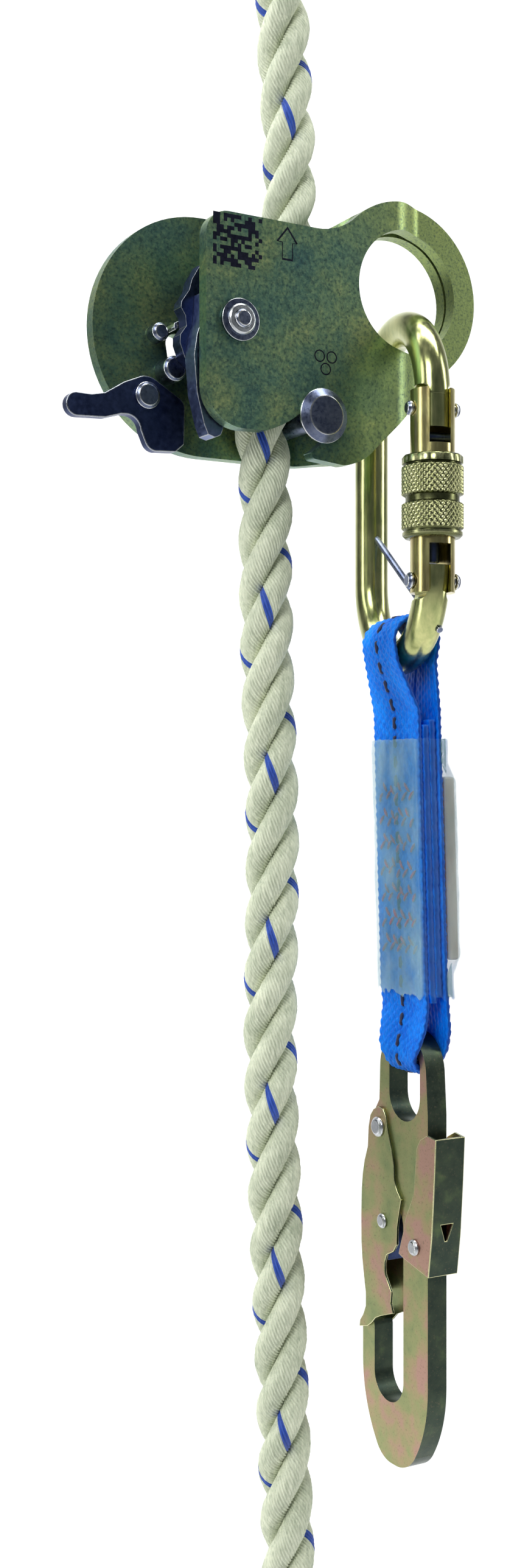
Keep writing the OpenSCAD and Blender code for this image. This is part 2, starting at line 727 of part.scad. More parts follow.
function keeper_outline() = [
    [2.3, -223], [4.8, -224.1], [6.5, -226.1], [7.5, -229.8], [7.9, -235.7], [9.7, -240.3],
    [10.7, -244.6], [11.2, -249], [11.5, -257], [11.4, -264.5], [10.9, -270], [10, -275],
    [9, -280], [9, -283.9], [10.4, -286.8], [12.1, -288.9], [12.4, -290.9], [7.9, -289.7],
    [5.8, -288.2], [3.7, -286.2], [0.9, -284.9], [-5.5, -282.6], [-4.2, -279.8], [-4.6, -276.6],
    [-2.9, -274.2], [-1.3, -272], [-1, -268.7], [-2.1, -266.1], [-5.6, -264.4], [-7.4, -262],
    [-7.5, -257], [-8.6, -252.1], [-9.6, -248.4], [-7.6, -246.2], [-6, -243.2], [-5.9, -239],
    [-4.6, -234.6], [-2.7, -229.6], [-1.6, -225.2], [-0.2, -223.3]
];

module keeper() {
    color("darkkhaki") in_hook() difference() {
        union() {
            for (s = [-1, 1]) translate([s * (keeper_in + keeper_t / 2), 0, 0])
                yz(-keeper_t / 2, keeper_t / 2) polygon(keeper_outline());
            // web along the outer edge, above the hook's nose
            yz(-keeper_in - e, keeper_in + e) polygon([
                [9.7, -240.3], [10.7, -244.6], [11.2, -249], [11.5, -257], [11.4, -264.5],
                [10.9, -270], [10, -275], [9, -280], [8.1, -280], [9.1, -275], [10, -270],
                [10.5, -264.5], [10.6, -257], [10.3, -249], [9.8, -244.6], [8.8, -240.3]
            ]);
        }
        rod_x(keeper_c, rivet_shank + run, -10, 10);
        rod_x(keeper_pin_c, rivet_r + e, -10, 10);
    }
}

// spacer block between the keeper's cheeks
module keeper_block() {
    color("dimgray") in_hook() difference() {
        yz(-half_t + 0.3, half_t - 0.3) polygon([
            [-2.2, -252.5], [2.6, -252.5], [2.8, -262], [1.2, -268], [-1.2, -268], [-2.2, -262]
        ]);
        rod_x(keeper_pin_c, rivet_r + e, -10, 10);
    }
}

module keeper_pin() {
    color("silver") in_hook() rivet_x(keeper_pin_c, rivet_r, keeper_in + keeper_t + 0.02, 5.2, 2.2);
}

module keeper_rivet() {
    color("silver") in_hook() rivet_x(keeper_c, rivet_shank, keeper_in + keeper_t + 0.05, 5.5, 3);
}

module lock_rivet() {
    color("silver") in_hook() rivet_x(lock_c, rivet_shank - 0.4, lock_in + lock_t + 0.05, 6.4, 2.4);
}

// torsion spring in the hook's pocket, with its leg down inside the keeper
module keeper_spring() {
    color("gainsboro") in_hook() {
        translate([0.3, keeper_c[0], keeper_c[1]]) rotate([0, 90, 0]) coil(3.6, 0.8, 0, 4);
        translate([0.9, keeper_c[0] + 2.6, keeper_c[1] - 20]) cylinder(r = 0.4, h = 19.6, $fn = 16);
    }
}

module lock_lever() {
    side = [
        [-28.4, -227.6], [-24.1, -227], [-20.6, -228.8], [-18.8, -231.6], [-18.3, -236.6],
        [-17.4, -244.8], [-15.3, -249.1], [-13.5, -252.3], [-12.2, -256.8], [-9.7, -263.8],
        [-12, -264.6], [-24.7, -267.5], [-26.4, -255.7], [-27.6, -240.7]
    ];
    color("darkkhaki") in_hook() difference() {
        yz(-lock_in - lock_t, lock_in + lock_t) polygon(side);
        // inside of the channel
        yz(-lock_in, lock_in) polygon([
            [-27.7, -225], [-26.8, -240.7], [-25.6, -255.7], [-23.6, -272], [0, -272], [0, -225]
        ]);
        rod_x(lock_c, rivet_shank - 0.4 + run, -10, 10);
        // small three-cornered hole in its back
        translate([0, -20, -254.6]) rotate([90, 0, 0]) linear_extrude(12)
            polygon([[-2, 2.2], [2, 2.2], [0.3, -2.6], [-0.3, -2.6]]);
    }
}

back_plate();
front_plate();
pivot_axle();
axle_washer();
axle_collar();
axle_spacers();
closing_stud();
stop_pin();
guide_pin();
spring_blade();
cam();
cam_arm();
cam_bush();
cam_rivets();
release_lever();
lever_rivet();
lever_spring();
anchor_rope();
eye_splice();
thimble();
splice_whipping();
rope_whipping();
carabiner_body();
carabiner_gate();
gate_latch_rivet();
gate_cross_pin();
gate_hinge_rivet();
gate_spring();
gate_plunger();
lock_sleeve();
captive_bar();
webbing_sling();
clear_sleeve();
id_tag();
hook_body();
keeper();
keeper_block();
keeper_pin();
keeper_rivet();
keeper_spring();
lock_lever();
lock_rivet();
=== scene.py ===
import math
import random

import bpy
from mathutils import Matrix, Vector, noise


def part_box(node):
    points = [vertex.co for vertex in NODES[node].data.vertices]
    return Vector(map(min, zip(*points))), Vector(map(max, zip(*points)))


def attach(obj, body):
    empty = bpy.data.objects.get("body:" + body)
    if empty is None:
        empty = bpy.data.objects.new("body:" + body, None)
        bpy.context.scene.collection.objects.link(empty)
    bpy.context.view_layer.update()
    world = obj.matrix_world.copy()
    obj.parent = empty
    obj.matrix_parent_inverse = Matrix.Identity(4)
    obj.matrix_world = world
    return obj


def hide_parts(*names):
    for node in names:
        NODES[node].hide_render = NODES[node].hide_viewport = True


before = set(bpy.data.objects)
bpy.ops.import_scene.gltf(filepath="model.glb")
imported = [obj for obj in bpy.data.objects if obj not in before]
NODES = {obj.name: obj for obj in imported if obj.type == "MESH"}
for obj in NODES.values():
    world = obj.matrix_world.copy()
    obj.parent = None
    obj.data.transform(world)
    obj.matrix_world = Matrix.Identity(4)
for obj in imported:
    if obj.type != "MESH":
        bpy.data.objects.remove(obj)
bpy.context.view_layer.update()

MM = 0.001
TAU = 2 * math.pi
UP = Vector((0, 0, 1))
ACROSS = Vector((0, 1, 0))


# ---------- camera ----------

CAMERA_AT = (-0.2565, -0.435, -0.1271)
CAMERA_LOOKS = Vector((0.5, 0.866, 0))
SENSOR_MM = 36
FOCAL_PER_SENSOR = 2900 / 2576      # focal length over the picture's longer side


def add_camera():
    data = bpy.data.cameras.new("camera")
    cam = bpy.data.objects.new("camera", data)
    bpy.context.scene.collection.objects.link(cam)
    cam.location = CAMERA_AT
    cam.rotation_mode = "QUATERNION"
    cam.rotation_quaternion = CAMERA_LOOKS.to_track_quat("-Z", "Y")
    data.sensor_width = SENSOR_MM
    data.sensor_fit = "AUTO"
    data.lens = SENSOR_MM * FOCAL_PER_SENSOR
    bpy.context.scene.camera = cam


add_camera()


# ---------- materials ----------

class Paint:
    """One procedural material, built up by short calls that each add a few nodes."""

    def __init__(self, name, metallic=0.0, roughness=0.5, **sockets):
        self.material = bpy.data.materials.new(name)
        self.material.use_nodes = True
        self.tree = self.material.node_tree
        self.shader = self.tree.nodes["Principled BSDF"]
        self.put("Metallic", metallic)
        self.put("Roughness", roughness)
        for socket, value in sockets.items():
            self.put(socket.replace("_", " "), value)
        self.where = self.node("TexCoord").outputs["Object"]

    def put(self, socket, value):
        if isinstance(value, bpy.types.NodeSocket):
            self.tree.links.new(value, self.shader.inputs[socket])
        else:
            self.shader.inputs[socket].default_value = value

    def node(self, kind, inputs=(), **settings):
        made = self.tree.nodes.new("ShaderNode" + kind)
        for key, value in settings.items():
            setattr(made, key, value)
        for key, value in dict(inputs).items():
            if isinstance(value, bpy.types.NodeSocket):
                self.tree.links.new(value, made.inputs[key])
            else:
                made.inputs[key].default_value = value
        return made

    def noise(self, scale, detail=3.0, stretch=None, rough=0.55):
        where = self.where
        if stretch:
            where = self.node("Mapping", {"Vector": where, "Scale": stretch}).outputs[0]
        return self.node("TexNoise", {
            "Vector": where, "Scale": scale, "Detail": detail, "Roughness": rough}).outputs["Fac"]

    def maths(self, operation, a, b=0.0):
        return self.node("Math", {0: a, 1: b}, operation=operation).outputs[0]

    def spread(self, value, low, high, to_low=0.0, to_high=1.0):
        return self.node("MapRange", {
            "Value": value, "From Min": low, "From Max": high,
            "To Min": to_low, "To Max": to_high}).outputs["Result"]

    def ramp(self, factor, stops):
        made = self.node("ValToRGB", {"Fac": factor})
        spots = made.color_ramp.elements
        while len(spots) < len(stops):
            spots.new(0.5)
        for spot, (place, colour) in zip(spots, stops):
            spot.position = place
            spot.color = (*colour, 1)
        return made.outputs["Color"]

    def mix(self, factor, a, b):
        made = self.node("MixRGB", {"Fac": factor})
        for key, value in (("Color1", a), ("Color2", b)):
            if isinstance(value, bpy.types.NodeSocket):
                self.tree.links.new(value, made.inputs[key])
            else:
                made.inputs[key].default_value = (*value, 1)
        return made.outputs["Color"]

    def axis(self, name, source=None):
        return self.node("SeparateXYZ", {0: source or self.where}).outputs[name]

    def facing(self, name):
        """How far the surface faces along one of the part's axes, from 0 to 1."""
        normal = self.node("TexCoord").outputs["Normal"]
        return self.maths("ABSOLUTE", self.axis(name, normal))

    def bump(self, height, strength, distance):
        made = self.node("Bump", {"Height": height, "Strength": strength, "Distance": distance})
        self.put("Normal", made.outputs["Normal"])


def plate_paint(name):
    """Yellow chromate on steel: mottled olive and teal, more yellow towards the eye."""
    p = Paint(name, metallic=0.9)
    broad = p.noise(70, 3, stretch=(1, 0.3, 1))
    fine = p.noise(900, 5, rough=0.7)
    speckle = p.noise(1500, 3)
    tone = p.maths("ADD", p.maths("MULTIPLY", broad, 0.6), p.maths("MULTIPLY", fine, 0.4))
    base = p.ramp(tone, [
        (0.36, (0.070, 0.160, 0.150)), (0.46, (0.130, 0.245, 0.165)),
        (0.56, (0.210, 0.320, 0.165)), (0.68, (0.36, 0.43, 0.180))])
    warm = p.spread(p.axis("X"), 0.012, 0.040)
    base = p.mix(p.maths("MULTIPLY", warm, 0.75), base, (0.32, 0.39, 0.12))
    base = p.mix(p.spread(speckle, 0.48, 0.80), base, (0.05, 0.09, 0.085))
    p.put("Base Color", base)
    p.put("Roughness", p.spread(fine, 0.3, 0.7, 0.30, 0.46))
    p.bump(p.maths("ADD", fine, speckle), 0.25, 0.0001)
    return p.material


def metal_paint(name, dark, light, roughness, grain=900, stretch=None, bump=0.12):
    """Plain metal with faint grain and patches between two colours."""
    p = Paint(name, metallic=1.0)
    fine = p.noise(grain, 4, stretch=stretch, rough=0.65)
    broad = p.noise(120, 2)
    tone = p.maths("ADD", p.maths("MULTIPLY", fine, 0.5), p.maths("MULTIPLY", broad, 0.5))
    p.put("Base Color", p.ramp(tone, [(0.36, dark), (0.64, light)]))
    p.put("Roughness", p.spread(fine, 0.3, 0.7, roughness * 0.8, roughness * 1.3))
    p.bump(fine, bump, 0.00008)
    return p.material


def hook_paint(name, pink=0.0):
    """Iridescent zinc: tan faces with pink and olive clouds, and dark green painted shade on the
    rims.
    """
    p = Paint(name, metallic=0.92)
    broad = p.noise(75, 3, rough=0.6)
    cloud = p.noise(160, 4)
    fine = p.noise(1500, 4, rough=0.7)
    face = p.ramp(broad, [
        (0.36 + pink, (0.53, 0.32, 0.25)), (0.46 + pink, (0.46, 0.37, 0.20)),
        (0.56 + pink, (0.37, 0.39, 0.175)), (0.68 + pink, (0.28, 0.34, 0.15))])
    painted_shade_rim = p.ramp(cloud, [
        (0.40, (0.045, 0.065, 0.050)), (0.60, (0.065, 0.088, 0.060)), (0.78, (0.12, 0.17, 0.08))])
    # faces toward ±X keep the tan colour; the other faces, the rims, take the dark painted shade
    sideways = p.spread(p.facing("X"), 0.45, 0.8)
    tint = p.mix(sideways, painted_shade_rim, face)
    p.put("Base Color", p.mix(p.spread(fine, 0.58, 0.75), tint, (0.16, 0.14, 0.09)))
    p.put("Roughness", p.spread(fine, 0.3, 0.7, 0.27, 0.42))
    p.bump(fine, 0.2, 0.0001)
    return p.material


def fibre_paint(name, low, high, roughness, stretch, scale=1400, bump=0.5, sheen=0.3):
    """Yarn of fine fibres that run along the stretched axis."""
    p = Paint(name, roughness=roughness)
    p.put("Sheen Weight", sheen)
    p.put("Sheen Roughness", 0.5)
    fine = p.noise(scale, 4, stretch=stretch, rough=0.7)
    broad = p.noise(90, 3)
    tone = p.maths("ADD", p.maths("MULTIPLY", fine, 0.65), p.maths("MULTIPLY", broad, 0.35))
    p.put("Base Color", p.ramp(tone, [(0.33, low), (0.62, high)]))
    p.bump(fine, bump, 0.00018)
    return p.material


def webbing_paint():
    """Bright blue polyester, with painted shade darkening the strap's narrow edges."""
    p = Paint("webbing_blue", roughness=0.5, Specular_IOR_Level=0.25)
    fine = p.noise(1800, 4, stretch=(1, 1, 0.25), rough=0.7)
    tone = p.maths("ADD", p.maths("MULTIPLY", fine, 0.6), p.maths("MULTIPLY", p.noise(90), 0.4))
    base = p.ramp(tone, [(0.35, (0.0, 0.085, 0.60)), (0.62, (0.002, 0.27, 1.0))])
    # faces toward ±Y, the strap's narrow edges, are mixed towards dark blue: painted shade
    edge = p.spread(p.facing("Y"), 0.55, 0.9, 0, 0.75)
    p.put("Base Color", p.mix(edge, base, (0.0, 0.02, 0.22)))
    p.bump(fine, 0.35, 0.00018)
    return p.material


def sleeve_paint(axis):
    """Yellow zinc with painted shade in the knurl's grooves; axis is a point on the sleeve's axis."""
    p = Paint("sleeve_zinc", metallic=1.0)
    dx = p.maths("SUBTRACT", p.axis("X"), axis.x)
    dy = p.maths("SUBTRACT", p.axis("Y"), axis.y)
    far = p.maths("SQRT", p.maths("ADD", p.maths("MULTIPLY", dx, dx), p.maths("MULTIPLY", dy, dy)))
    fine = p.noise(900, 4)
    base = p.ramp(fine, [(0.35, (0.50, 0.52, 0.25)), (0.65, (0.66, 0.66, 0.36))])
    # the colour turns dark nearer the axis than the knurl's tips: painted shade in the grooves
    groove = p.spread(far, 8.35 * MM, 8.68 * MM, 0.95, 0)
    p.put("Base Color", p.mix(groove, base, (0.10, 0.11, 0.045)))
    p.put("Roughness", p.spread(fine, 0.3, 0.7, 0.2, 0.34))
    p.bump(fine, 0.1, 0.00008)
    return p.material


def film_paint():
    """Hazy clear plastic; its haze is far thicker on the faces toward ±X: painted light standing in
    for the lit side's haze.
    """
    p = Paint("film_clear", roughness=0.22)
    haze = p.noise(120, 4, stretch=(1, 1, 0.5))
    p.put("Base Color", p.ramp(haze, [(0.35, (0.16, 0.40, 0.50)), (0.7, (0.36, 0.60, 0.66))]))
    # more opaque on faces toward ±X than toward ±Y: painted light on the side that takes the light
    broad = p.spread(p.facing("X"), 0.4, 0.9, 0.12, 1.0)
    p.put("Alpha", p.maths("MULTIPLY", broad, p.spread(haze, 0.35, 0.7, 0.24, 0.44)))
    p.put("Specular IOR Level", 0.6)
    p.bump(p.noise(500, 3), 0.25, 0.0002)
    return p.material


def tag_paint():
    p = Paint("tag_grey", roughness=0.38)
    cloud = p.noise(140, 4, stretch=(1, 1, 0.3))
    p.put("Base Color", p.ramp(cloud, [(0.3, (0.27, 0.29, 0.26)), (0.7, (0.47, 0.48, 0.44))]))
    p.put("Subsurface Weight", 0.15)
    p.bump(cloud, 0.15, 0.0002)
    return p.material


def backdrop_paint():
    p = Paint("backdrop", roughness=0.9)
    p.put("Base Color", p.ramp(p.noise(3), [(0.3, (0.90, 0.90, 0.90)), (0.7, (0.93, 0.93, 0.93))]))
    return p.material


ROPE = fibre_paint("rope_cream", (0.40, 0.46, 0.32), (0.84, 0.88, 0.68), 0.55, (1, 1, 0.1),
                   sheen=0.1)
TRACER = fibre_paint("rope_tracer", (0.004, 0.03, 0.26), (0.02, 0.10, 0.55), 0.6, (1, 1, 0.1))
TWINE = fibre_paint("twine_blue", (0.006, 0.03, 0.18), (0.02, 0.09, 0.42), 0.6, (0.3, 0.3, 1))
WEB = webbing_paint()
THREAD_DARK = fibre_paint("thread_dark", (0.004, 0.006, 0.03), (0.012, 0.02, 0.08), 0.6, (1, 1, 0.2))
THREAD_RED = fibre_paint("thread_red", (0.22, 0.01, 0.03), (0.55, 0.05, 0.10), 0.6, (1, 1, 1))
INK = metal_paint("mark_ink", (0.010, 0.012, 0.022), (0.02, 0.022, 0.04), 0.5)

FINISH = {
    "plate": plate_paint("plate_chromate"),
    # the lighter edge finishes below are painted highlights on rounded edges
    "plate_edge_highlight": metal_paint("plate_edge_highlight", (0.60, 0.62, 0.20), (0.86, 0.86, 0.34), 0.22),
    "blued": metal_paint("blued_steel", (0.030, 0.045, 0.115), (0.065, 0.09, 0.20), 0.36),
    "arm": metal_paint("arm_steel", (0.08, 0.11, 0.24), (0.17, 0.22, 0.38), 0.36),
    # painted edge highlight
    "blued_edge_highlight": metal_paint("blued_edge_highlight", (0.26, 0.28, 0.32), (0.45, 0.47, 0.5), 0.3),
    "pin": metal_paint("pin_grey", (0.09, 0.115, 0.20), (0.22, 0.25, 0.34), 0.3),
    # painted edge highlight
    "pin_edge_highlight": metal_paint("pin_edge_highlight", (0.5, 0.52, 0.54), (0.75, 0.76, 0.78), 0.2),
    "spring": metal_paint("spring_bright", (0.55, 0.58, 0.56), (0.8, 0.82, 0.8), 0.25),
    "bronze": metal_paint("bush_bronze", (0.35, 0.2, 0.08), (0.5, 0.32, 0.14), 0.35),
    "zinc": metal_paint("zinc_bright", (0.45, 0.47, 0.49), (0.68, 0.7, 0.72), 0.3),
    "carabiner": metal_paint("carabiner_zinc", (0.32, 0.37, 0.15), (0.60, 0.60, 0.27), 0.2,
                             700, (1, 1, 0.12), 0.08),
    "gate": metal_paint("gate_zinc", (0.46, 0.36, 0.15), (0.64, 0.60, 0.26), 0.2,
                        700, (1, 1, 0.12), 0.08),
    # painted edge highlight
    "carabiner_edge_highlight": metal_paint("carabiner_edge_highlight", (0.66, 0.64, 0.42), (0.8, 0.78, 0.55), 0.18),
    "hook": hook_paint("hook_zinc"),
    "lever": hook_paint("lever_zinc", 0.09),
    # painted edge highlight
    "hook_edge_highlight": metal_paint("hook_edge_highlight", (0.55, 0.55, 0.28), (0.78, 0.76, 0.46), 0.22),
    "tag": tag_paint(),
}


# ---------- CAD nodes that stay ----------

# node: its finish, its edge finish, its edge radius in millimetres; the edge finish is mostly a
# lighter colour, a painted highlight on the rounded edges
DRESS = {
    "back_plate": ("plate", "plate_edge_highlight", 0.8), "front_plate": ("plate", "plate_edge_highlight", 1.0),
    "pivot_axle": ("pin", "pin_edge_highlight", 0.25), "axle_washer": ("pin", "pin_edge_highlight", 0.2),
    "axle_collar": ("zinc", "pin_edge_highlight", 0.2), "axle_spacers": ("pin", "pin_edge_highlight", 0.2),
    "closing_stud": ("pin", "pin_edge_highlight", 0.35), "stop_pin": ("pin", "pin_edge_highlight", 0.25),
    "guide_pin": ("pin", "pin_edge_highlight", 0.2), "spring_blade": ("spring", "pin_edge_highlight", 0.15),
    "cam": ("blued", "blued_edge_highlight", 0.3), "cam_arm": ("arm", "blued_edge_highlight", 0.45),
    "cam_bush": ("bronze", "bronze", 0.15), "cam_rivets": ("pin", "pin_edge_highlight", 0.2),
    "release_lever": ("blued", "blued_edge_highlight", 0.35), "lever_rivet": ("pin", "pin_edge_highlight", 0.2),
    "lever_spring": ("spring", "spring", 0.1), "thimble": ("zinc", "pin_edge_highlight", 0.5),
    "carabiner_body": ("carabiner", "carabiner_edge_highlight", 0.35),
    "carabiner_gate": ("gate", "carabiner_edge_highlight", 0.35),
    "gate_latch_rivet": ("pin", "pin_edge_highlight", 0.25), "gate_hinge_rivet": ("pin", "pin_edge_highlight", 0.25),
    "gate_cross_pin": ("blued", "blued_edge_highlight", 0.15), "gate_spring": ("spring", "spring", 0),
    "gate_plunger": ("blued", "blued_edge_highlight", 0.2), "captive_bar": ("pin", "pin_edge_highlight", 0.2),
    "id_tag": ("tag", "tag", 0.8), "hook_body": ("hook", "hook_edge_highlight", 0.5),
    "keeper": ("hook", "hook_edge_highlight", 0.18), "keeper_block": ("blued", "blued_edge_highlight", 0.2),
    "keeper_pin": ("zinc", "pin_edge_highlight", 0.3), "keeper_rivet": ("zinc", "pin_edge_highlight", 0.3),
    "keeper_spring": ("spring", "spring", 0), "lock_lever": ("lever", "hook_edge_highlight", 0.25),
    "lock_rivet": ("zinc", "pin_edge_highlight", 0.3),
}
WELD_GAP = 0.000002
FLAT_WITHIN = math.radians(0.4)     # faces closer than this in angle become one
SHARP_FROM = math.radians(32)       # edges sharper than this are rounded


def dress(name):
    """Gives a CAD node its finish, and softens its edges without touching its mesh; the rounded edges
    take its edge finish, mostly a painted highlight.
    """
    finish, edge, radius = DRESS[name]
    obj = NODES[name]
    obj.data.materials.clear()
    obj.data.materials.append(FINISH[finish])
    obj.data.materials.append(FINISH[edge])
    for face in obj.data.polygons:
        face.use_smooth = True
    weld = obj.modifiers.new("weld", "WELD")
    weld.merge_threshold = WELD_GAP
    if radius:
        flat = obj.modifiers.new("flat", "DECIMATE")
        flat.decimate_type = "DISSOLVE"
        flat.angle_limit = FLAT_WITHIN
        bevel = obj.modifiers.new("edge", "BEVEL")
        bevel.width = radius * MM
        bevel.segments = 3
        bevel.limit_method = "ANGLE"
        bevel.angle_limit = SHARP_FROM
        bevel.harden_normals = True
        # the rounded edges take the second material, the edge finish: mostly a painted highlight
        bevel.material = 1
        bevel.use_clamp_overlap = True
        even = obj.modifiers.new("normals", "WEIGHTED_NORMAL")
        even.weight = 80
        even.keep_sharp = True


for node_name in DRESS:
    dress(node_name)


# ---------- mesh helpers ----------

class Parts:
    """Collects swept pieces in one mesh."""

    def __init__(self):
        self.points, self.faces, self.slots = [], [], []

    def sweep(self, rows, slot=0, closed=False, caps=True, slot_of=None):
        """Joins rings of points. Each ring has the same count; closed joins the last to the first."""
        first, n, m = len(self.points), len(rows[0]), len(rows)
        for row in rows:
            self.points.extend(row)
        for i in range(m if closed else m - 1):
            a, b = first + i * n, first + (i + 1) % m * n
            for k in range(n):
                j = (k + 1) % n
                self.faces.append((a + k, a + j, b + j, b + k))
                self.slots.append(slot_of(k) if slot_of else slot)
        if caps and not closed:
            last = first + (m - 1) * n
            self.faces.append(tuple(range(first + n - 1, first - 1, -1)))
            self.faces.append(tuple(range(last, last + n)))
            self.slots.extend([slot, slot])

    def build(self, name, body, materials, replaces=(), smooth=True):
        mesh = bpy.data.meshes.new(name)
        mesh.from_pydata([tuple(p) for p in self.points], [], self.faces)
        for material in materials:
            mesh.materials.append(material)
        mesh.polygons.foreach_set("material_index", self.slots)
        mesh.polygons.foreach_set("use_smooth", [smooth] * len(self.faces))
        mesh.update()
        obj = bpy.data.objects.new(name, mesh)
        bpy.context.scene.collection.objects.link(obj)
        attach(obj, body)
        if replaces:
            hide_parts(*replaces)
        return obj


def smooth_line(points, step):
    """Points about one step apart on a smooth curve through the given points."""
    ends = [2 * points[0] - points[1], *points, 2 * points[-1] - points[-2]]
    fine = []
    for p0, p1, p2, p3 in zip(ends, ends[1:], ends[2:], ends[3:]):
        for i in range(40):
            t = i / 40
            fine.append(0.5 * (2 * p1 + (p2 - p0) * t + (2 * p0 - 5 * p1 + 4 * p2 - p3) * t ** 2
                               + (3 * p1 - p0 - 3 * p2 + p3) * t ** 3))
    fine.append(points[-1])
    return even_line(fine, step)


def even_line(fine, step):
    """The same line with points an even distance apart, about one step."""
    along = [0.0]
    for a, b in zip(fine, fine[1:]):
        along.append(along[-1] + (b - a).length)
    count = max(2, round(along[-1] / step))
    line, k = [], 0
    for i in range(count + 1):
        s = along[-1] * i / count
        while k < len(along) - 2 and along[k + 1] < s:
            k += 1
        span = along[k + 1] - along[k]
        line.append(fine[k].lerp(fine[k + 1], (s - along[k]) / span if span else 0))
    return line


def directions(line, closed=False):
    n = len(line)
    if closed:
        return [(line[(i + 1) % n] - line[i - 1]).normalized() for i in range(n)]
    return [(line[min(i + 1, n - 1)] - line[max(i - 1, 0)]).normalized() for i in range(n)]


def cord_rows(line, radius, sides=8, closed=False, side=None):
    """Rings of a plain round cord along a line, with rounded ends where it is open."""
    rows = []
    side = side or Vector((0.3, 0.9, 0.2))
    dirs = directions(line, closed)
    for i, (p, t) in enumerate(zip(line, dirs)):
        e1 = t.cross(side).normalized()
        e2 = t.cross(e1)
        last = len(line) - 1
        r = radius if closed or 0 < i < last else radius * 0.45
        rows.append([p + r * (math.cos(TAU * k / sides) * e1 + math.sin(TAU * k / sides) * e2)
                     for k in range(sides)])
    return rows


# ---------- rope ----------

# the rope's centreline, the same as in the CAD, from top to bottom: (x, z) in millimetres
ROPE_ROUTE = [Vector((x * MM, 0, z * MM)) for x, z in (
    (1, 104), (2, 80), (3.4, 58), (3.6, 42), (2.8, 27), (0, 10), (-3, -8), (-5.4, -24),
    (-5, -34), (-4.2, -44), (-4.2, -66), (-3.4, -100), (-2, -135), (-2.2, -170), (-2.6, -204),
    (-1, -248), (1, -292), (2.2, -322), (3.2, -346), (3.8, -376))]
STRAND_R = 3.58 * MM
HELIX_R = 4.07 * MM
LAY = 46.8 * MM
YARNS = 17
YARN_SIDES = 4
TRACER_Z = -123.6 * MM     # where the tracer yarn faces the camera
TRACER_TOWARDS = math.radians(-120.3)
YARN_TURNS = -4            # turns of the yarns in each lay
YARN_RIDGE = (-0.36, -0.05, 0.06, -0.05)    # one yarn's outline in millimetres, groove first
YARN_UNEVEN = 0.16         # in millimetres
TRACER_YARNS = 2.5
ROPE_STEP = 0.8 * MM


def yarn_radius(k, s, seed):
    """Radius of a strand at vertex k and distance s: a ridge for each yarn, slightly uneven."""
    yarn, part = divmod(k, YARN_SIDES)
    uneven = noise.noise(Vector((yarn * 3.1 + seed, s * 60, 0))) * YARN_UNEVEN
    return (YARN_RIDGE[part] + uneven) * MM


def strand_rows(line, dirs, helix, lay, phase, radius, roll, seed):
    """Rings of one strand laid round a line. helix and radius are values or functions of i."""
    rows, s, n = [], 0.0, YARNS * YARN_SIDES
    for i, (p, t) in enumerate(zip(line, dirs)):
        if i:
            s += (p - line[i - 1]).length
        e1 = ACROSS.cross(t).normalized()
        e2 = t.cross(e1)
        turn = phase + TAU * s / lay
        out = math.cos(turn) * e1 + math.sin(turn) * e2
        round_ = -math.sin(turn) * e1 + math.cos(turn) * e2
        h = helix(i) if callable(helix) else helix
        r = radius(i) if callable(radius) else radius
        own = (t + round_ * (TAU * h / lay)).normalized()
        side = own.cross(out)
        centre = p + out * h
        spin = roll + YARN_TURNS * TAU * s / lay
        rows.append([
            centre + (r + yarn_radius(k, s, seed) * (r / STRAND_R)) * (
                math.cos(spin + TAU * k / n) * out + math.sin(spin + TAU * k / n) * side)
            for k in range(n)])
    return rows


def tracer_slot(k):
    return 1 if k < TRACER_YARNS * YARN_SIDES else 0


def make_rope():
    line = smooth_line(ROPE_ROUTE[::-1], ROPE_STEP)
    dirs = directions(line)
    s_tracer, s = 0.0, 0.0
    for a, b in zip(line, line[1:]):
        s += (b - a).length
        if b.z < TRACER_Z:
            s_tracer = s
    # the tracer's strand and its first yarns face the camera at TRACER_Z
    phase = TRACER_TOWARDS - TAU * s_tracer / LAY
    roll = -YARN_TURNS * TAU * s_tracer / LAY - TAU / YARNS
    parts = Parts()
    for k in range(3):
        rows = strand_rows(line, dirs, HELIX_R, LAY, phase + TAU * k / 3, STRAND_R, roll, 40 * k)
        parts.sweep(rows, slot_of=tracer_slot if k == 0 else None)
    rope = parts.build("rope_strands", "rope", [ROPE, TRACER], ["anchor_rope"])
    return rope, line


TWINE_R = 0.37 * MM
TURN_STEPS = 40


def whipping(name, node, radius):
    """Tight turns of twine that fill a whipping's CAD ring."""
    low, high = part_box(node)
    c = (low + high) / 2
    height = high.z - low.z - 2 * TWINE_R
    steps = int(height / (1.9 * TWINE_R)) * TURN_STEPS
    line = [
        Vector((c.x + radius * math.cos(TAU * i / TURN_STEPS),
                c.y + radius * math.sin(TAU * i / TURN_STEPS),
                low.z + TWINE_R + height * i / steps))
        for i in range(steps + 1)]
    parts = Parts()
    parts.sweep(cord_rows(line, TWINE_R, 10, side=UP))
    return parts.build(name, "rope", [TWINE], [node])


rope, rope_line = make_rope()
end_whipping = whipping("whipping_end", "rope_whipping", 8.28 * MM)
whipping("whipping_eye", "splice_whipping", 10.42 * MM)


EYE_R = 20 * MM            # radius of the eye's centreline
EYE_ROPE_R = 7 * MM
EYE_STRAND_R = 3.2 * MM
EYE_HELIX_R = 3.7 * MM
SPLICE_HELIX_R = 6.2 * MM  # where six strands lie side by side
SPLICE_STRAND_R = 3.35 * MM
TUCK_TIP_R = 1.3 * MM
TUCK_HELIX_R = 5.0 * MM
SPLICE_STEPS = 36


